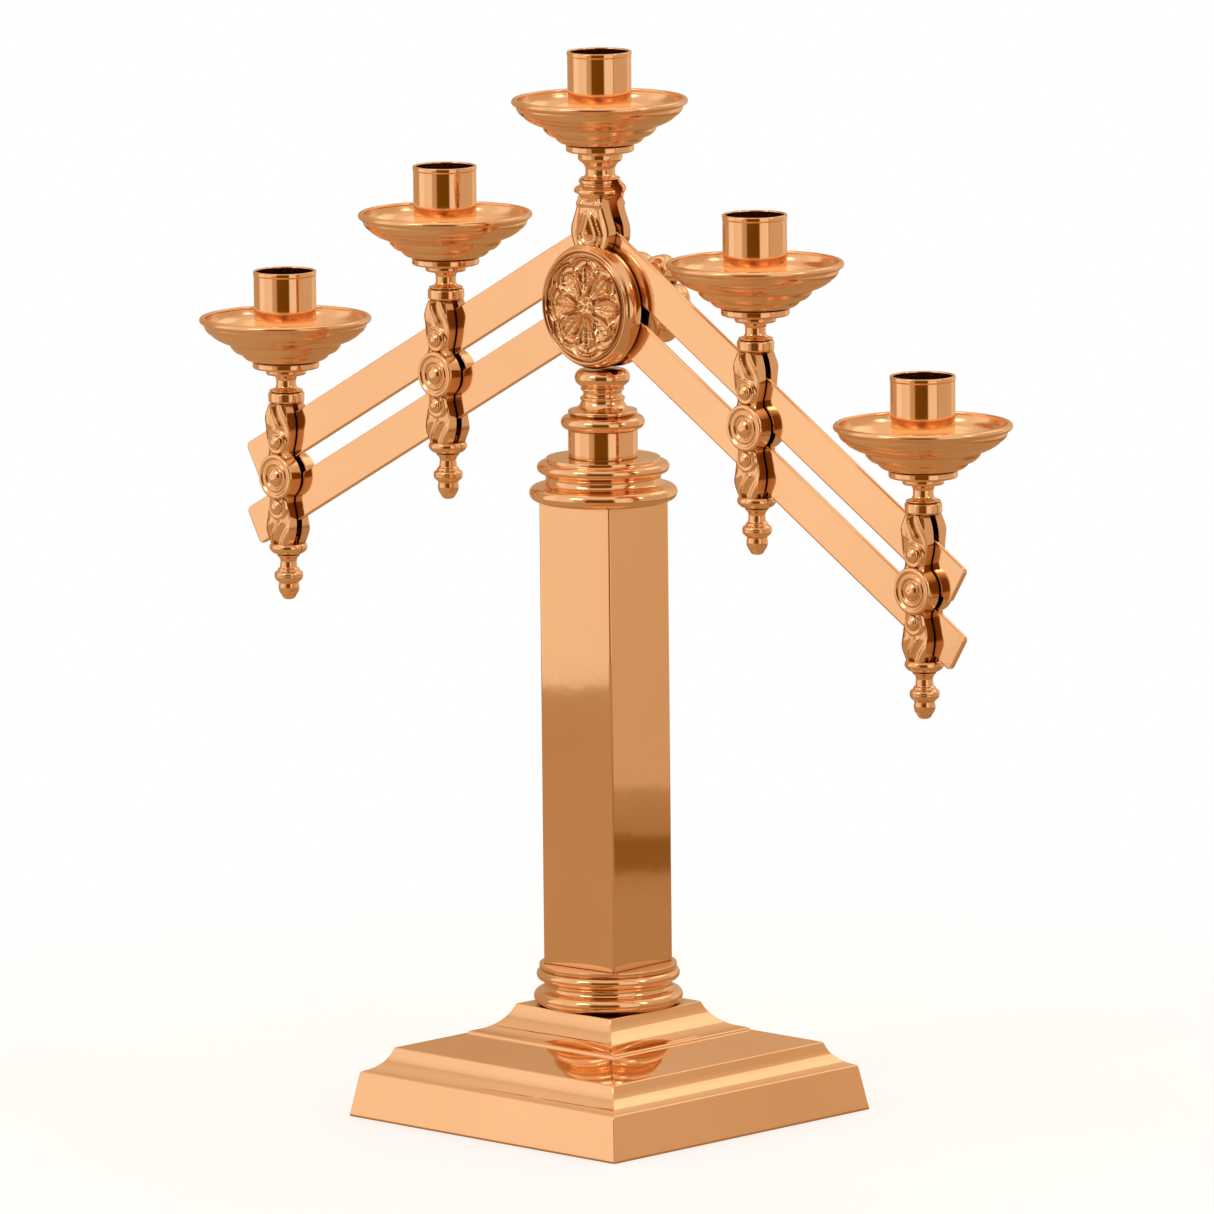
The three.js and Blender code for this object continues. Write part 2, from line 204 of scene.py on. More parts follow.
def turned(line, facets=PLAIN, radius_at=None, lift_at=None):
    """A profile carried round Z. radius_at and lift_at change a point by its angle."""
    rings = []
    for r, z in line:
        ring = []
        for i in range(facets):
            angle = 2 * math.pi * i / facets
            reach = radius_at(r, z, angle) if radius_at else r
            lift = lift_at(r, z, angle) if lift_at else 0
            ring.append((reach * math.cos(angle), reach * math.sin(angle), z + lift))
        rings.append(ring)
    on_axis = line[0].x == 0 and line[-1].x == 0
    return loft(rings, "open" if on_axis else "joined")


def square_ring(half, z, corner):
    """A square with rounded corners and a point beside each of them."""
    corner = min(corner, 0.5 * half)
    hold = min(0.4, half - corner)
    ring = []
    for side in range(4):
        turn = Matrix.Rotation(side * math.pi / 2, 2)
        ring.append(turn @ Vector((half, half - corner - hold)))
        for i in range(5):
            angle = i * math.pi / 8
            x = half - corner + corner * math.cos(angle)
            y = half - corner + corner * math.sin(angle)
            ring.append(turn @ Vector((x, y)))
        ring.append(turn @ Vector((half - corner - hold, half)))
    return [(x, y, z) for x, y in ring]


def squared(line, corner):
    """A profile carried round a square: each radius is half of a side."""
    return loft([square_ring(half, z, corner) for half, z in line], "joined")


def sheet_relief(heights, half_at, back, front_at, across=44, ease=0.5):
    """A plate standing on Z with a flat back at depth back and a modelled front. half_at gives
    half its width at a height, front_at the depth of its front at a point."""
    rings = []
    for z in heights:
        half = half_at(z)
        ring = [(half, back, z), (-half, back, z)]
        for i in range(across + 1):
            x = -half * math.cos(math.pi * i / across)
            inset = max(0, ease - (half - abs(x))) / ease
            round_off = ease * (1 - math.sqrt(max(0, 1 - inset * inset)))
            ring.append((x, front_at(x, z) - round_off, z))
        rings.append(ring)
    return loft(rings, "capped")


def bump(distance, width):
    """1 in the middle of a ridge, falling smoothly to 0 beyond its width."""
    return math.exp(-((distance / width) ** 2))


def step_up(value, low, high):
    t = max(0, min(1, (value - low) / (high - low)))
    return t * t * (3 - 2 * t)


def dome(distance, radius):
    return math.sqrt(max(0, 1 - (distance / radius) ** 2))


def moved(mesh, matrix):
    copy = mesh.copy()
    copy.transform(matrix)
    return copy


def combined(first, others, operation="UNION"):
    """One closed mesh from several that overlap, or the first with the others cut away."""
    body = bpy.data.objects.new("body", first)
    bpy.context.scene.collection.objects.link(body)
    helpers = []
    for mesh in others:
        helper = bpy.data.objects.new("helper", mesh)
        bpy.context.scene.collection.objects.link(helper)
        modifier = body.modifiers.new("combine", "BOOLEAN")
        modifier.operation = operation
        modifier.solver = "MANIFOLD"
        modifier.object = helper
        helpers.append(helper)
    graph = bpy.context.evaluated_depsgraph_get()
    result = bpy.data.meshes.new_from_object(body.evaluated_get(graph))
    for helper in [body, *helpers]:
        bpy.data.objects.remove(helper)
    return result


# Turns a solid made about Z so that its top looks to -Y, or to +Y.
TO_FRONT = Matrix.Rotation(math.pi / 2, 4, "X")
TO_REAR = Matrix.Rotation(math.pi, 4, "Z") @ TO_FRONT
HALF_TURN = Matrix.Rotation(math.pi, 4, "Z")


# ---- materials ----


def node(tree, kind, **values):
    made = tree.nodes.new(kind)
    for name, value in values.items():
        if name.startswith("in_"):
            made.inputs[name[3:].replace("_", " ")].default_value = value
        else:
            setattr(made, name, value)
    return made


def link(tree, source, output, target, socket):
    tree.links.new(source.outputs[output], target.inputs[socket])


def noise(tree, place, scale, detail=4.0, stretch=(1, 1, 1)):
    """A noise texture in the piece's own coordinates, in cycles per metre."""
    mapping = node(tree, "ShaderNodeMapping")
    mapping.inputs["Scale"].default_value = stretch
    link(tree, place, "Object", mapping, "Vector")
    texture = node(tree, "ShaderNodeTexNoise", in_Scale=scale, in_Detail=detail)
    link(tree, mapping, "Vector", texture, "Vector")
    return texture


def ramp(tree, source, output, stops):
    """Colours by the value of an output, from pairs of a position and a colour."""
    made = node(tree, "ShaderNodeValToRGB")
    points = made.color_ramp.elements
    while len(points) < len(stops):
        points.new(0.5)
    for point, (position, colour) in zip(points, stops):
        point.position = position
        point.color = (*colour, 1)
    link(tree, source, output, made, "Fac")
    return made


def ranged(tree, source, output, low, high):
    """An output between 0 and 1 carried to the range from low to high."""
    made = node(tree, "ShaderNodeMapRange")
    made.inputs["To Min"].default_value = low
    made.inputs["To Max"].default_value = high
    link(tree, source, output, made, "Value")
    return made


def metal(name, light, dark, shade_and_dirt, gloss, dull, grain, grain_depth, cast_depth=0.0, reach=0.0035):
    """Solid metal: slow colour drift, painted shade with some dirt in its hollows, wiping haze, and
    fine working lines.
    """
    material = bpy.data.materials.new(name)
    material.use_nodes = True
    tree = material.node_tree
    shader = tree.nodes["Principled BSDF"]
    shader.inputs["Metallic"].default_value = 1.0
    place = node(tree, "ShaderNodeTexCoord")

    drift = noise(tree, place, 9.0, 6.0)
    tone = ramp(tree, drift, "Fac", [(0.3, dark), (0.7, light)])
    # Ambient occlusion darkens the hollows towards the hollow colour: this is painted shade, with
    # some dirt.
    hollows = node(tree, "ShaderNodeAmbientOcclusion", samples=6, in_Distance=reach)
    open_air = ramp(tree, hollows, "AO", [(0.15, (0, 0, 0)), (0.75, (1, 1, 1))])
    shaded_and_stained = node(tree, "ShaderNodeMix", data_type="RGBA")
    shaded_and_stained.inputs["A"].default_value = (*shade_and_dirt, 1)
    link(tree, open_air, "Color", shaded_and_stained, "Factor")
    link(tree, tone, "Color", shaded_and_stained, "B")
    link(tree, shaded_and_stained, "Result", shader, "Base Color")

    haze = noise(tree, place, 34.0, 8.0)
    roughness = ranged(tree, haze, "Fac", gloss, dull)
    rubbed = node(tree, "ShaderNodeMath", operation="MULTIPLY_ADD")
    rubbed.inputs[1].default_value = 0.03
    fine_haze = noise(tree, place, 420.0, 3.0)
    link(tree, fine_haze, "Fac", rubbed, 0)
    link(tree, roughness, "Result", rubbed, 2)
    link(tree, rubbed, "Value", shader, "Roughness")

    lines = noise(tree, place, 900.0, 3.0, grain)
    relief = node(tree, "ShaderNodeBump", in_Strength=1.0, in_Distance=grain_depth)
    link(tree, lines, "Fac", relief, "Height")
    waves = noise(tree, place, 60.0, 2.0)
    soft = node(tree, "ShaderNodeBump", in_Strength=1.0, in_Distance=0.00002 + cast_depth)
    link(tree, waves, "Fac", soft, "Height")
    link(tree, relief, "Normal", soft, "Normal")
    link(tree, soft, "Normal", shader, "Normal")
    return material


# Two tones that the brass drifts between, and the colour its hollows darken to in turned and in cast
# pieces: painted shade together with dirt.
GOLD_LIGHT = (1.0, 0.67, 0.41)
GOLD_DARK = (0.94, 0.61, 0.36)
GOLD_SHADE_AND_DIRT = (0.5, 0.3, 0.16)
CAST_SHADE_AND_DIRT = (0.4, 0.22, 0.11)

# How the noise of the working lines is stretched: the smaller the number, the longer the lines.
ROUND_THE_AXIS = (0.04, 0.04, 1.0)
ALONG_THE_BARS = (0.03, 1.0, 1.0)
UP_THE_FACES = (1.0, 1.0, 0.03)
NO_GRAIN = (1.0, 1.0, 1.0)


def brass(name, gloss, dull, grain, grain_depth, shade_and_dirt=GOLD_SHADE_AND_DIRT, **more):
    return metal(name, GOLD_LIGHT, GOLD_DARK, shade_and_dirt, gloss, dull, grain, grain_depth, **more)


FINISHES = {
    "spun": brass("spun_brass", 0.04, 0.1, ROUND_THE_AXIS, 4e-6),
    "satin": brass("satin_brass", 0.13, 0.22, ROUND_THE_AXIS, 6e-6),
    "flat": brass("flat_brass", 0.05, 0.12, ALONG_THE_BARS, 4e-6),
    "tube": brass("tube_brass", 0.01, 0.05, UP_THE_FACES, 2e-6),
    "cast": brass(
        "cast_brass", 0.07, 0.17, NO_GRAIN, 6e-6, CAST_SHADE_AND_DIRT, cast_depth=2e-5, reach=0.007,
    ),
    "steel": metal(
        "plated_steel", (0.6, 0.6, 0.6), (0.42, 0.42, 0.43), (0.1, 0.08, 0.06), 0.3, 0.5,
        NO_GRAIN, 8e-6,
    ),
}


def stand_for(node_name, mesh, finish, matrix=Matrix.Identity(4), crease=38):
    """Puts a fine mesh, in millimetres, in the place of a CAD node."""
    mesh = moved(mesh, Matrix.Scale(MM, 4) @ matrix)
    mesh.name = f"{node_name}_fine"
    mesh.materials.clear()
    mesh.materials.append(FINISHES[finish])
    mesh.shade_smooth()
    mesh.set_sharp_from_angle(angle=math.radians(crease))
    piece = bpy.data.objects.new(f"{node_name}_fine", mesh)
    bpy.context.scene.collection.objects.link(piece)
    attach(piece, BODY[node_name])
    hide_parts(node_name)
    return piece


def at(point):
    return Matrix.Translation(point)


# ---- stand ----


def base():
    line = profile(
        (76.2, 0), (76.0, 1.2), (73.1, 17.8), (72.6, 18.7), (71.8, 19), (63.2, 27.6, -1.5),
        (62.7, 28.6), (41.6, 34), (41.2, 35), (40.4, 35.3), (27.4, 45.6, -2.2), (27.1, 46.5),
        (ROD_HOLE, 46.5), (ROD_HOLE, 43), (24, 43), (34, 33), (38, 30.6), (58.5, 25.2),
        (67, 17), (72.7, 0),
    )
    stand_for("base", squared(line, 0.5), "tube")


def lower_collar():
    line = profile(
        (ROD_HOLE, 0), (27.6, 0), (27.8, 0.3), (27.8, 6.3, 3), (26.9, 6.9), (26.9, 9.8, -0.5),
        (27.6, 10.3), (27.6, 14.9, 2), (28.2, 15.4), (28.4, 15.8), (28.4, 17.1), (ROD_HOLE, 17.1),
    )
    stand_for("lower_collar", turned(line, FINE), "spun", at(foot("lower_collar")))


def upper_collar():
    line = profile(
        (ROD_HOLE, 0), (27.2, 0), (27.6, 0.4), (27.6, 6.4, 2.9), (25.3, 6.9), (24.1, 10.9, -0.9),
        (25.1, 11.7), (25.1, 16.2, 2.2), (23.7, 16.5), (23.5, 17), (23.5, 18), (ROD_HOLE, 18),
    )
    stand_for("upper_collar", turned(line, FINE), "spun", at(foot("upper_collar")))


def column():
    turn = Matrix.Rotation(COLUMN_TURN, 4, "Z")
    low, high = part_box("column")
    length = (high.z - low.z) / MM
    inner = COLUMN_HALF - COLUMN_WALL
    line = profile((COLUMN_HALF, 0), (COLUMN_HALF, length), (inner, length), (inner, 0))
    stand_for("column", squared(line, 1.1), "tube", at(foot("column")) @ turn)


def neck_sleeve():
    line = profile((14.2, 0), (14.3, 0.6), (14.3, 10.9), (14.2, 11.5), (11.5, 11.5), (11.5, 0))
    stand_for("neck_sleeve", turned(line), "spun", at(foot("neck_sleeve")))


def hub_foot():
    """Ring, round shoulder, neck with two fine beads, and a bead under the drum."""
    line = profile(
        (0, 14), (ROD_HOLE, 14), (ROD_HOLE, 0), (14.2, 0), (14.6, 0.3), (14.6, 5.9, 2.7),
        (13.8, 6.3), (13.4, 6.7), (13.9, 8.2, 0.7), (8.7, 12.2, -1.3), (8.7, 13.6, 0.6),
        (8.1, 13.9), (8.1, 15.9, -0.2), (8.5, 16.2), (8.5, 17.4, 0.5), (9.3, 18.3),
        (9.5, 24.7, 2), (8.4, 25), (0, 25),
    )
    stand_for("hub_foot", turned(line), "spun", at(foot("hub_foot")))


def hidden_fixings():
    """Rod, washer and nut inside the stand."""
    low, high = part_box("tie_rod")
    length = (high.z - low.z) / MM
    threads = []
    for i in range(int(length / THREAD_PITCH)):
        threads += [(3.95, (i + 0.15) * THREAD_PITCH), (3.5, (i + 0.65) * THREAD_PITCH)]
    rod = sharp((0, 0), (3.4, 0), *threads, (3.4, length), (0, length))
    stand_for("tie_rod", turned(rod, 32), "steel", at(foot("tie_rod")))
    ring = profile((ROD_HOLE, 0), (13.8, 0), (13.8, 1.5), (ROD_HOLE, 1.5))
    stand_for("base_washer", turned(ring), "steel", at(foot("base_washer")))
    blank = turned(profile((0, -0.1), (6.7, -0.1), (7.5, 0.8), (7.5, 5.2), (6.7, 6.1), (0, 6.1)))
    flats = turned(sharp((0, -1), (7.3, -1), (7.3, 7), (0, 7)), 6)
    bore = turned(sharp((0, -2), (ROD_HOLE, -2), (ROD_HOLE, 8), (0, 8)), 48)
    nut = combined(combined(blank, [flats], "INTERSECT"), [bore], "DIFFERENCE")
    stand_for("base_nut", nut, "steel", at(foot("base_nut")))


# ---- hub ----

SLOT = 2.4  # half of the slot between the hub's halves
FIELD = 8.4  # depth of the sunk field under the rosette
STUD_HOLE = 2.85
PIN_HOLE = 1.9
PIN_BORE = 6.9  # reach of the hub's blind bores for the upper pin
DRUM_EDGE = (
    (0, SLOT), (25, SLOT), (25.3, 2.8), (24.2, 9.7, 1.2), (23.9, 10.3), (23.2, 10.8, 0.25),
    (22.5, 10.2),
)


def rosette(r, z, angle):
    """Relief of the drum's face: a scalloped border, eight hollow petals and a boss of four
    berries round a fifth."""
    if z < FIELD - 0.1 or r > 21.3:
        return 0
    fold = (angle + math.pi / 8) % (math.pi / 4) - math.pi / 8
    scallop = 19.7 - 2.3 * (8 * fold / math.pi) ** 2
    border = 1.7 * step_up(r, scallop - 0.8, scallop + 0.4) - 0.7 * bump(r - scallop - 1.3, 0.45)
    cusp = 1.3 * bump(r - 15.4, 1.5) * bump(abs(fold) - math.pi / 8, 0.09)
    inside = 0.37 * r * dome(r - 10.2, 7.2) - abs(r * fold)
    petal = 2.1 * step_up(inside, -0.4, 1.1) - 1.2 * step_up(inside, 0.9, 2.6)
    vein = 0.9 * bump(r * fold, 0.5) * step_up(inside, 0, 1)
    veinlets = 0.15 * math.cos(2.6 * (r - abs(r * fold))) * step_up(inside, 0.4, 1.4)
    boss = 2.2 * bump(r, 1.3)
    quarter = (angle + math.pi / 4) % (math.pi / 2) - math.pi / 4
    aside = math.hypot(r * math.cos(quarter) - 2.9, r * math.sin(quarter))
    boss = max(boss, 2.9 * bump(aside, 1.7), 1.3 * step_up(5.6 - r, 0, 1.6))
    return max(border, petal + vein + veinlets, boss) + cusp


def drum():
    """Half of the drum, standing on Z, with a rolled rim and a rosette in its sunk face."""
    rim = profile(*DRUM_EDGE, (22.2, 9.7), (21.8, 9.6), (21.4, FIELD + 1.5))[:-1]
    inward = [Vector((21.2 - 0.35 * i, FIELD)) for i in range(60)]
    line = [*rim, *inward, Vector((0, FIELD))]
    return turned(line, 288, lift_at=rosette)


def leaf_half(z):
    """Half of the width of the leaf above the drum, by height over the upper pivot."""
    return 6.6 + 4.2 * bump(z - 3, 8.3)


def hub_leaf_front(x, z):
    """Depth of the leaf's front: a drop in nested cups, flutes along its sides, and a collar."""
    half = leaf_half(z)
    share = abs(x) / half
    above = z - 2.6
    cup = abs(x) + 0.42 * above if above > 0 else math.hypot(x, above)
    drop = 2.2 * bump(cup, 2.5)
    cups = 1.0 * bump(cup - 4.6, 0.7) + 0.8 * bump(cup - 6.9, 0.7)
    sides = 0.7 * bump(share - 0.9, 0.13) + 0.5 * bump(share - 0.58, 0.12) * step_up(z, 4, 9)
    collar = 0.8 * bump(z - 14.6, 0.9)
    edge = 2.2 * (1 - math.sqrt(max(0, 1 - (0.97 * share) ** 3)))
    return 7 - edge + drop + cups * (1 - step_up(z, 9, 13)) + sides + collar


def hub_leaf(pivot):
    """Plate between the drum and the cap, with its front to -Y."""
    heights = [-13 + 0.3 * i for i in range(102)]
    leaf = sheet_relief(heights, leaf_half, -SLOT, lambda x, z: -hub_leaf_front(x, z), 72)
    return moved(leaf, at((0, 0, pivot)))


def hub_cap(line, pivot):
    """Half of the turned cap, cut off at the slot."""
    whole = moved(turned(line), at((0, 0, pivot)))
    behind = box_between((-20, -SLOT, pivot), (20, 20, pivot + 30))
    return combined(whole, [behind], "DIFFERENCE")


def box_between(low, high):
    """A plain cutting block."""
    rings = []
    for z in (low[2], high[2]):
        corners = ((low[0], low[1]), (high[0], low[1]), (high[0], high[1]), (low[0], high[1]))
        rings.append([(x, y, z) for x, y in corners])
    return loft(rings, "capped")


def hub_front():
    """The front half: rosette drum, leaf and half of the cap in one casting, facing -Y."""
    pivot = middle("hub_upper_pin").z
    boss = moved(drum(), at((0, 0, middle("clamp_stud").z)) @ TO_FRONT)
    line = profile(
        (0, 14.6), (7, 14.6), (7.6, 16.4), (8.6, 17.2), (10.9, 19.2, -0.4), (10.9, 20.4),
        (8.9, 21.8, 0.2), (8.4, 22.2), (8.4, 22.7), (8.9, 23), (8.9, 24.4), (0, 24.4),
    )
    mesh = combined(boss, [hub_leaf(pivot), hub_cap(line, pivot)])
    hole = bore_y(PIN_HOLE, PIN_BORE, pivot)
    stand_for("hub_front", combined(mesh, [hole], "DIFFERENCE"), "cast")


def bore_y(radius, reach, z):
    """A cutting rod along Y at height z."""
    line = sharp((0, -reach), (radius, -reach), (radius, reach), (0, reach))
    return moved(turned(line, 48), at((0, 0, z)) @ TO_FRONT)


def hub_rear():
    """The rear half: plain drum face with a raised seat for the clamp, and a round leaf tip."""
    pivot = middle("hub_upper_pin").z
    stud = middle("clamp_stud").z
    line = profile(
        *DRUM_EDGE, (21.3, 9.2), (12, 9.2), (10.4, 9.8, -0.3), (9.4, 10.4), (9, 14), (0, 14),
    )
    back = moved(turned(line, FINE), at((0, 0, stud)) @ TO_FRONT)
    tip_line = profile(
        (0, 14.6), (7.2, 14.6), (8.2, 16.4), (9.8, 19, 0.5), (9.2, 22.6, 1.1), (6, 24.4, 0.6),
        (0, 24.4),
    )
    mesh = combined(back, [hub_leaf(pivot), hub_cap(tip_line, pivot)])
    holes = [bore_y(STUD_HOLE, 20, stud), bore_y(PIN_HOLE, PIN_BORE, pivot)]
    stand_for("hub_rear", combined(mesh, holes, "DIFFERENCE"), "cast", HALF_TURN)


def across(node_name):
    """Lays a rod that stands on Z along Y, filling the length of a node."""
    return at(middle(node_name)) @ TO_FRONT @ at((0, 0, -length_along_y(node_name) / 2))


def plain_rod(node_name, radius, finish):
    """A rod along Y with bevelled ends."""
    length = length_along_y(node_name)
    line = profile(
        (0, 0), (radius - 0.3, 0), (radius, 0.4), (radius, length - 0.4), (radius - 0.3, length),
        (0, length),
    )
    stand_for(node_name, turned(line, 48), finish, across(node_name))


def hub_fixings():
    """Pin of the upper bars, and the stud and washer of the clamp."""
    plain_rod("hub_upper_pin", 1.6, "spun")
    plain_rod("clamp_stud", 2.5, "steel")
    ring = profile((STUD_HOLE, -0.6), (8.3, -0.6), (8.5, 0), (8.3, 0.6), (STUD_HOLE, 0.6))
    stand_for("clamp_washer", turned(ring), "spun", at(middle("clamp_washer")) @ TO_FRONT)


def clamp_knob():
    """Cast knob like a six-lobed flower, deeply creased between its lobes."""
    line = profile(
        (STUD_HOLE, 0), (7.8, 0), (8, 0.6), (6.6, 3.2, -0.4), (7.2, 5.2), (13.6, 7.4, 0.8),
        (19.8, 12.6, 2.6), (14.5, 18.4, 2.4), (6.4, 18.9), (5.6, 19.6), (0, 20.6, 0.6), (0, 15),
        (STUD_HOLE, 14.6),
    )

    def lobed(r, z, angle):
        crease = abs(math.cos(3 * angle)) ** 0.6
        share = step_up(r, 6.5, 12)
        return r * (1 - 0.4 * share * (1 - crease))

    mesh = turned(line, 216, radius_at=lobed)
    low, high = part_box("clamp_knob")
    foot_y = low.y / MM
    stand_for("clamp_knob", mesh, "cast", at((0, foot_y, middle("clamp_stud").z)) @ TO_REAR)


# ---- light: heights from the rim of the pan ----

RIM_BELOW_TOP = 1.2
PAN_LINE = profile(
    (0, -17.4), (13.9, -17.4), (14.4, -17.1), (17.6, -15.9, 0.5), (18.1, -15.5), (18.5, -14.3),
    (22.4, -12.4, 0.6), (23, -11.9), (23.6, -10.1), (31.1, -6.5, 0.5), (31.6, -5.8),
    (34.3, -1.8, 0.7), (34.7, -1.4), (34.9, 1.3, 1.4),
    (33.9, 0.1, 0.6), (33.6, -1.2), (30.5, -5, -0.5), (30, -5.4), (22.8, -9, -0.4),
    (22, -10.9), (17.8, -12.9), (17.2, -14.4), (13.6, -16.1), (0, -16.1),
    ease=0.3,
)
CUP_LINE = profile(
    (0, -15.8), (13, -15.8), (13.1, -15.4), (13.1, 18.6), (13.3, 19), (13.3, 20.6), (12, 20.6),
    (12, -14.3), (0, -14.3),
    ease=0.5,
)
SEAT = ((0, -17.7), (13.6, -17.7), (14, -18.1), (14, -20.2), (13.4, -20.7), (9.6, -21), (9.1, -21.4))


def rim_of(light):
    point = crown(f"{light}_pan")
    point.z -= RIM_BELOW_TOP
    return point


def pan_and_cup(light):
    stand_for(f"{light}_pan", turned(PAN_LINE, FINE), "satin", at(rim_of(light)))
    stand_for(f"{light}_cup", turned(CUP_LINE, 96), "spun", at(rim_of(light)))


def center_stem():
    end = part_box("center_stem")[0].z / MM - rim_of("center").z + 6.4
    line = profile(
        *SEAT, (9.1, -22.2), (8.6, -24.6, -0.3), (6.1, -28, 0.6), (6.1, -29.4),
        (7.6, end + 0.6, 0.5), (8.2, end + 0.3), (8.2, end), (0, end),
    )
    stand_for("center_stem", turned(line), "spun", at(rim_of("center")))


def side_stem(light):
    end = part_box(f"{light}_front_casting")[1].z / MM - rim_of(light).z + 0.3
    line = profile(
        *SEAT[:-1], (8.3, -21.4), (8.1, -23.4, -0.3), (4.6, -24.4, 0.4), (4.2, -25.4),
        (4.2, -27.6), (6.6, end + 0.6, 0.7), (7.1, end + 0.3), (7.1, end), (2.4, end),
        (2.4, end - 3.4),
        (0, end - 3.4),
    )
    stand_for(f"{light}_stem", turned(line), "spun", at(rim_of(light)))


# ---- hangers: heights from the upper pivot, depth towards the front ----

SPACING = middle("hub_upper_pin").z - middle("clamp_stud").z
ROUNDEL_Z = -14.6
CAP_TOP = 21.0
CAP_BOTTOM = 16.3
FOOT_TOP = -43.4
FOOT_BOTTOM = -48.0
HANGER_SLOT = 1.6  # half of the slot between the two castings
STEM_HOLE = 2.8


def leaf_width(rise, swelling, shoulder):
    """Half of a leaf's width, by the share of the way from its roundel end to its far end."""
    swell = math.sin(math.pi * min(1, max(0, 1 - rise) ** 0.9))
    return 4.4 + swelling * swell ** 0.9 + shoulder * step_up(-rise, -0.12, 0.05)


def hanger_half(z):
    """Half of the width: two leaves that swell near their pivots and narrow to their far ends."""
    if z > ROUNDEL_Z:
        return leaf_width((z + 5.5) / (CAP_BOTTOM + 5.5), 2.6, 1.1)
    start = -SPACING + 3.2
    return leaf_width((start - z) / (start - FOOT_TOP), 2.4, 1.0)


def hanger_front(x, z):
    """Depth of the leaves' front: a swelling round each pin, an S-shaped vein, raised edges."""
    half = hanger_half(z)
    share = x / half
    upper = z > ROUNDEL_Z
    pivot = 0 if upper else -SPACING
    tip = CAP_BOTTOM if upper else FOOT_TOP
    reach = abs(z - pivot)
    along = max(0, min(1, (z - pivot) / (tip - pivot)))
    lean = 0.3 * math.sin(1.6 * math.pi * along)
    fade = step_up(reach, 4, 8)
    flutes = (0.5 + 0.5 * math.cos(6.6 * (share - lean))) * fade
    spine = 0.5 * bump(share - lean, 0.13) * fade
    swelling = 1.2 * dome(math.hypot(x, reach), 5.4) ** 1.3
    curl = 0.6 * bump(math.hypot(x, reach) - 4.6, 0.6)
    edge = 1.7 * (1 - math.sqrt(max(0, 1 - (0.96 * share) ** 4)))
    return 5.9 - edge + max(swelling, 1.0 * flutes) + curl + spine


def bore_z(low, high):
    """A cutting rod along Z for the end of a stem or a finial."""
    return turned(sharp((0, low), (STEM_HOLE, low), (STEM_HOLE, high), (0, high)), 36)


def hanger_casting():
    """Half of a hanger facing -Y: two leaves, a roundel between them, a cap and a foot block."""
    heights = [FOOT_TOP - 0.6 + 0.36 * i for i in range(168)]
    leaves = sheet_relief(heights, hanger_half, -HANGER_SLOT, lambda x, z: -hanger_front(x, z))
    ring = profile(
        (0, HANGER_SLOT), (9.8, HANGER_SLOT), (10, 2), (9.7, 7.2), (9.2, 7.9), (8.2, 8),
        (7.6, 7.5), (7, 7.2), (6.4, 7.4), (6, 7.9), (5.4, 7.9), (4.9, 7.4), (4.3, 7.1),
        (3.8, 7.5), (3.1, 8.5, 0.15), (0, 9.2, 0.4),
        ease=0.3,
    )
    roundel = moved(turned(ring, 96), at((0, 0, ROUNDEL_Z)) @ TO_FRONT)
    cap_line = profile(
        (0, CAP_BOTTOM), (6.9, CAP_BOTTOM), (7.6, CAP_BOTTOM + 0.6), (7.6, CAP_TOP - 0.6),
        (6.9, CAP_TOP), (0, CAP_TOP),
    )
    foot_line = profile(
        (0, FOOT_BOTTOM), (4.9, FOOT_BOTTOM), (7.8, FOOT_BOTTOM + 2, 0.4),
        (8.1, FOOT_BOTTOM + 2.6), (7.9, FOOT_TOP - 0.7), (7.2, FOOT_TOP), (0, FOOT_TOP),
    )
    ends = combined(turned(cap_line), [turned(foot_line)])
    behind = box_between((-20, -0.15, FOOT_BOTTOM - 1), (20, 20, CAP_TOP + 1))
    ends = combined(ends, [behind], "DIFFERENCE")
    body = combined(leaves, [roundel, ends])
    holes = [bore_z(-60, FOOT_TOP + 0.4), bore_z(CAP_BOTTOM - 1, 30)]
    holes += [bore_y(PIN_HOLE, 12, 0), bore_y(PIN_HOLE, 12, -SPACING)]
    return combined(body, holes, "DIFFERENCE")


def pin_mesh(length):
    """Pin with a ball for a head, standing on Z with the head up."""
    head = length - 2.3
    line = profile(
        (0, 0), (1.3, 0), (1.6, 0.4), (1.6, head), (3.1, head), (3.2, head + 0.3),
        (2.2, head + 1.7, 0.35), (0, length, 0.25),
        ease=0.15,
    )
    return turned(line, 48)


FINIAL_LINE = profile(
    (0, -18.9), (3.1, -17.3, 0.8), (4.4, -13.4, 0.4), (4.1, -11.9), (4.5, -11.5), (5.3, -10.8),
    (6, -8.8, 0.3), (5.4, -7.2, 0.3), (4.6, -6.7), (4.6, -6.1), (3.7, -5.4), (3.5, -3.4),
    (4.7, -0.6, -0.5), (4.9, 0), (2.4, 0), (2.4, 7.6), (0, 7.6),
    ease=0.25,
)


def side_light(light, casting):
    upper = middle(f"{light}_upper_pin")
    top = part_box(f"{light}_front_casting")[1].z / MM
    place = Vector((upper.x, middle(f"{light}_cup").y, top - CAP_TOP))
    stand_for(f"{light}_front_casting", casting, "cast", at(place))
    stand_for(f"{light}_rear_casting", casting, "cast", at(place) @ HALF_TURN)
    for pin in ("upper", "lower"):
        name = f"{light}_{pin}_pin"
        stand_for(name, pin_mesh(length_along_y(name)), "cast", across(name))
    side_stem(light)
    pan_and_cup(light)
    acorn = at((place.x, place.y, place.z + FOOT_BOTTOM - 0.3))
    stand_for(f"{light}_finial", turned(FINIAL_LINE), "cast", acorn)


# ---- arms ----

BAR_HALF = 8.4
BAR_END = 234.5
BAR_CORNER = 2.5
BAR_EDGE = (  # inset and depth of the rings that round a bar's long edges
    (0.9, -1), (0.45, -1), (0.13, -0.87), (0, -0.55), (0, 0.55), (0.13, 0.87), (0.45, 1), (0.9, 1),
)


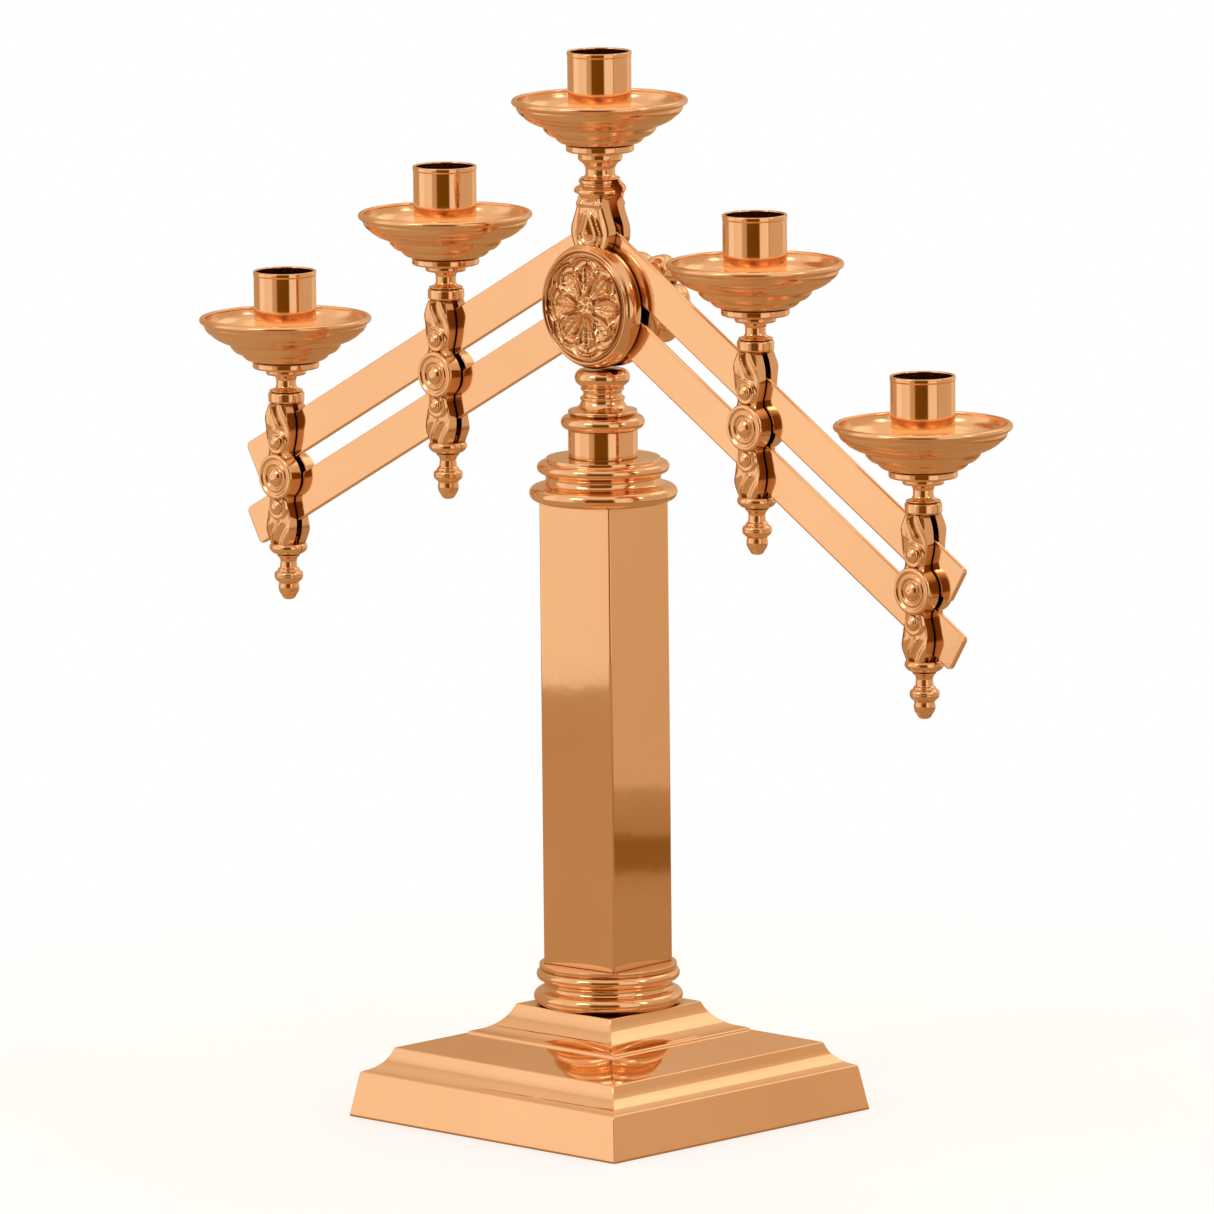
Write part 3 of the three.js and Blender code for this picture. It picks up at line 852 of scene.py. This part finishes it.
def bar_mesh(hub_hole, pivots):
    """Flat bar along X from the hub pivot: round inner end, square outer end, eased edges."""
    outline = []
    for i in range(25):
        angle = math.pi / 2 + math.pi * i / 24
        outline.append((BAR_HALF * math.cos(angle), BAR_HALF * math.sin(angle)))
    for side in (-1, 1):
        for i in range(9):
            start = -1 if side < 0 else 0
            angle = math.pi / 2 * (start + i / 8)
            x = BAR_END - BAR_CORNER + BAR_CORNER * math.cos(angle)
            z = side * (BAR_HALF - BAR_CORNER) + BAR_CORNER * math.sin(angle)
            outline.append((x, z))
    rings = [[shrunk(x, z, inset, depth) for x, z in outline] for inset, depth in BAR_EDGE]
    flat = loft(rings, "capped")
    holes = [bore_y(hub_hole, 4, 0)]
    holes += [moved(bore_y(PIN_HOLE, 4, 0), at((reach, 0, 0))) for reach in pivots]
    return combined(flat, holes, "DIFFERENCE")


def shrunk(x, z, inset, depth):
    """A point of the bar's outline, moved in by inset, at a depth."""
    if x <= 0:
        scale = 1 - inset / BAR_HALF
        return (x * scale, depth, z * scale)
    return (min(x, BAR_END - inset), depth, max(inset - BAR_HALF, min(BAR_HALF - inset, z)))


def bars(side):
    outer = middle(f"{side}_outer_upper_pin")
    inner = middle(f"{side}_inner_upper_pin")
    hub = middle("hub_upper_pin")
    for level, hole in (("upper", PIN_HOLE), ("lower", STUD_HOLE)):
        start = Vector((0, middle(f"{side}_{level}_bar").y, hub.z))
        reach = [math.hypot(pin.x, pin.z - hub.z) for pin in (inner, outer)]
        mesh = bar_mesh(hole, reach)
        if level == "lower":
            start.z -= SPACING
        turn = Matrix.Rotation(math.atan2(hub.z - outer.z, outer.x), 4, "Y")
        stand_for(f"{side}_{level}_bar", mesh, "flat", at(start) @ turn)


# ---- studio ----


# Brightness of the table in reflections, by metres from the object towards FLOOR_WAY.
FLOOR_WAY = CAMERA_AZIMUTH + math.radians(99.8)
FLOOR_TONES = (
    (-1.1, 0.52), (-0.25, 0.53), (-0.05, 0.45), (0.2, 0.45), (0.5, 0.47), (0.575, 0.43),
    (0.59, 0.27), (0.67, 0.25), (0.685, 0.42), (0.8, 0.48),
)
FLOOR_START = -1.11
FLOOR_END = 0.81
FLOOR_REACH = 1.2
FLOOR_COLOUR = (0.6, 0.73, 0.9)
FLOOR_GLOW = 0.52
FADE_START = 0.18  # the table starts to fade out this far from the object
FADE_END = 0.62


def studio_floor():
    """A plain pale table top that fades out, so that it has no visible edge. In reflections it
    is a warm grey table of limited width."""
    rings = []
    for share in (0, 0.25, 0.5, 0.75, 1):
        radius = share * FLOOR_REACH
        turns = (2 * math.pi * k / 96 for k in range(96))
        rings.append([(radius * math.cos(a), radius * math.sin(a), 0) for a in turns])
    mesh = loft(rings)
    floor = bpy.data.objects.new("floor", mesh)
    bpy.context.scene.collection.objects.link(floor)
    mesh.materials.append(floor_material())


def pale_table(tree, place):
    """The table as it is looked at: pale, matt and fading out with the distance."""
    shader = tree.nodes["Principled BSDF"]
    shader.inputs["Base Color"].default_value = (*FLOOR_COLOUR, 1)
    shader.inputs["Roughness"].default_value = 0.6
    shader.inputs["Emission Color"].default_value = (1, 1, 1, 1)
    shader.inputs["Emission Strength"].default_value = FLOOR_GLOW
    distance = node(tree, "ShaderNodeVectorMath", operation="LENGTH")
    link(tree, place, "Object", distance, 0)
    fade = node(tree, "ShaderNodeMapRange", interpolation_type="SMOOTHERSTEP")
    fade.inputs["From Min"].default_value = FADE_START
    fade.inputs["From Max"].default_value = FADE_END
    fade.inputs["To Min"].default_value = 1
    fade.inputs["To Max"].default_value = 0
    link(tree, distance, "Value", fade, "Value")
    link(tree, fade, "Result", shader, "Alpha")
    return shader


def reflected_table(tree, place):
    """The table as the brass reflects it: glowing warm grey bands between its two ends."""
    along = node(tree, "ShaderNodeVectorMath", operation="DOT_PRODUCT")
    along.inputs[1].default_value = (math.sin(FLOOR_WAY), -math.cos(FLOOR_WAY), 0)
    link(tree, place, "Object", along, 0)
    share = node(tree, "ShaderNodeMapRange")
    share.inputs["From Min"].default_value = -FLOOR_REACH
    share.inputs["From Max"].default_value = FLOOR_REACH
    link(tree, along, "Value", share, "Value")
    table = ramp(tree, share, "Result", [(floor_share(m), warm(tone)) for m, tone in FLOOR_TONES])
    ends = (
        (FLOOR_START, 0), (FLOOR_START + 0.01, 1), (FLOOR_END - 0.01, 1), (FLOOR_END, 0),
    )
    there = ramp(tree, share, "Result", [(floor_share(m), (tone,) * 3) for m, tone in ends])
    glow = node(tree, "ShaderNodeEmission")
    link(tree, table, "Color", glow, "Color")
    clear = node(tree, "ShaderNodeBsdfTransparent")
    reflected = node(tree, "ShaderNodeMixShader")
    link(tree, there, "Color", reflected, "Fac")
    link(tree, clear, "BSDF", reflected, 1)
    link(tree, glow, "Emission", reflected, 2)
    return reflected


def floor_share(metres):
    """Where a distance along FLOOR_WAY lies between the two edges of the floor."""
    return (metres + FLOOR_REACH) / (2 * FLOOR_REACH)


def floor_material():
    material = bpy.data.materials.new("pale_floor")
    material.use_nodes = True
    tree = material.node_tree
    place = node(tree, "ShaderNodeTexCoord")
    rays = node(tree, "ShaderNodeLightPath")
    both = node(tree, "ShaderNodeMixShader")
    link(tree, rays, "Is Camera Ray", both, "Fac")
    link(tree, reflected_table(tree, place), "Shader", both, 1)
    link(tree, pale_table(tree, place), "BSDF", both, 2)
    link(tree, both, "Shader", tree.nodes["Material Output"], "Surface")
    return material


def warm(tone):
    """Colour of a wall or table in reflections: the darker, the browner."""
    share = max(0, (tone - 0.2) / 0.8)
    green = 0.376 + 0.424 * share ** 0.57
    blue = 0.02 + 0.615 * share ** 0.73
    return (tone, tone * green, tone * blue)


WARM_LIGHT = (1.0, 0.85, 0.7)


def softbox(name, place, aim, width, height, power, colour=(1, 1, 1)):
    data = bpy.data.lights.new(name, "AREA")
    data.shape = "RECTANGLE"
    data.size = width
    data.size_y = height
    data.energy = power
    data.color = colour
    lamp = bpy.data.objects.new(name, data)
    lamp.location = place
    lamp.rotation_mode = "QUATERNION"
    lamp.rotation_quaternion = (Vector(aim) - Vector(place)).to_track_quat("-Z", "Y")
    bpy.context.scene.collection.objects.link(lamp)


def around(azimuth, elevation, distance):
    """A place seen from the object at an azimuth left of the camera's, in degrees."""
    turn = CAMERA_AZIMUTH - math.radians(azimuth)
    rise = math.radians(elevation)
    flat = distance * math.cos(rise)
    return Vector((flat * math.sin(turn), -flat * math.cos(turn), distance * math.sin(rise)))


def lights():
    softbox("key", around(48, 42, 2.2), (0, 0, 0.25), 0.6, 0.6, 2.8)
    softbox("fill", around(-62, 34, 2.4), (0, 0, 0.25), 0.4, 0.6, 1.8)
    softbox("top", around(180, 74, 2.0), (0, 0, 0.2), 1.2, 0.8, 1.1, WARM_LIGHT)
    softbox("window", around(-125, 44, 2.2), (0, 0, 0.33), 1.1, 0.7, 1.1, WARM_LIGHT)


# Brightness of the tent's walls by degrees to the right of the camera, seen from the object.
TENT = (
    (-180, 0.55), (-110, 0.55), (-104, 1.0), (-84, 1.0), (-78, 0.88), (-50, 0.92), (-45, 0.6),
    (-31, 0.55), (-27, 0.17), (16, 0.15), (19, 0.92), (50, 0.95), (51, 0.3), (54, 0.64),
    (118, 0.66), (124, 0.85), (180, 0.6),
)
ROOF_TONE = 0.85


def bearing(tree, parts):
    """Angle round Z from straight behind the object to a direction, as a share of a turn. It is
    0.5 on the camera's side."""
    back = node(tree, "ShaderNodeMath", operation="MULTIPLY")
    back.inputs[1].default_value = -1
    link(tree, parts, "Y", back, 0)
    angle = node(tree, "ShaderNodeMath", operation="ARCTAN2")
    link(tree, parts, "X", angle, 0)
    link(tree, back, "Value", angle, 1)
    share = node(tree, "ShaderNodeMath", operation="MULTIPLY_ADD")
    share.inputs[1].default_value = 1 / (2 * math.pi)
    share.inputs[2].default_value = 0.5
    link(tree, angle, "Value", share, 0)
    return share


def tent_colour(tree):
    """Walls toned by TENT, under a bright roof."""
    place = node(tree, "ShaderNodeTexCoord")
    turn = node(tree, "ShaderNodeMapping", vector_type="POINT")
    turn.inputs["Rotation"].default_value = (0, 0, -CAMERA_AZIMUTH)
    link(tree, place, "Generated", turn, "Vector")
    parts = node(tree, "ShaderNodeSeparateXYZ")
    link(tree, turn, "Vector", parts, "Vector")
    tones = [(0.5 + degrees / 360, warm(tone)) for degrees, tone in TENT]
    walls = ramp(tree, bearing(tree, parts), "Value", tones)
    high = ramp(tree, parts, "Z", [(0.0, (0, 0, 0)), (0.45, (0, 0, 0)), (0.75, (1, 1, 1))])
    tent = node(tree, "ShaderNodeMix", data_type="RGBA")
    tent.inputs["B"].default_value = (*warm(ROOF_TONE), 1)
    link(tree, high, "Color", tent, "Factor")
    link(tree, walls, "Color", tent, "A")
    return tent


def surroundings():
    """A bright tent with a dark opening round the camera, seen only in reflections. Looked at
    directly, it is plain white."""
    world = bpy.data.worlds.new("studio")
    bpy.context.scene.world = world
    world.use_nodes = True
    tree = world.node_tree
    tree.nodes.clear()
    rays = node(tree, "ShaderNodeLightPath")
    seen = node(tree, "ShaderNodeMix", data_type="RGBA")
    seen.inputs["B"].default_value = (1, 1, 1, 1)
    link(tree, rays, "Is Camera Ray", seen, "Factor")
    link(tree, tent_colour(tree), "Result", seen, "A")
    sky = node(tree, "ShaderNodeBackground", in_Strength=1.0)
    link(tree, seen, "Result", sky, "Color")
    output = node(tree, "ShaderNodeOutputWorld")
    link(tree, sky, "Background", output, "Surface")


def camera():
    data = bpy.data.cameras.new("camera")
    data.lens = CAMERA_LENS
    data.sensor_width = SENSOR_WIDTH
    data.clip_end = 20
    holder = bpy.data.objects.new("camera", data)
    flat = math.cos(CAMERA_ELEVATION)
    back = Vector((
        math.sin(CAMERA_AZIMUTH) * flat,
        -math.cos(CAMERA_AZIMUTH) * flat,
        math.sin(CAMERA_ELEVATION),
    ))
    right = Vector((math.cos(CAMERA_AZIMUTH), math.sin(CAMERA_AZIMUTH), 0))
    up = back.cross(right)
    tilt_right = right * math.cos(CAMERA_ROLL) + up * math.sin(CAMERA_ROLL)
    tilt_up = up * math.cos(CAMERA_ROLL) - right * math.sin(CAMERA_ROLL)
    turn = Matrix((tilt_right, tilt_up, back)).transposed()
    holder.matrix_world = at(CAMERA_AIM + back * CAMERA_DISTANCE) @ turn.to_4x4()
    bpy.context.scene.collection.objects.link(holder)
    bpy.context.scene.camera = holder


def main():
    camera()
    studio_floor()
    surroundings()
    lights()
    base()
    lower_collar()
    column()
    upper_collar()
    neck_sleeve()
    hub_foot()
    hidden_fixings()
    hub_front()
    hub_rear()
    hub_fixings()
    clamp_knob()
    center_stem()
    pan_and_cup("center")
    casting = hanger_casting()
    for side in ("left", "right"):
        bars(side)
        for place in ("inner", "outer"):
            side_light(f"{side}_{place}", casting)
    bpy.context.scene.view_settings.view_transform = "Standard"


main()
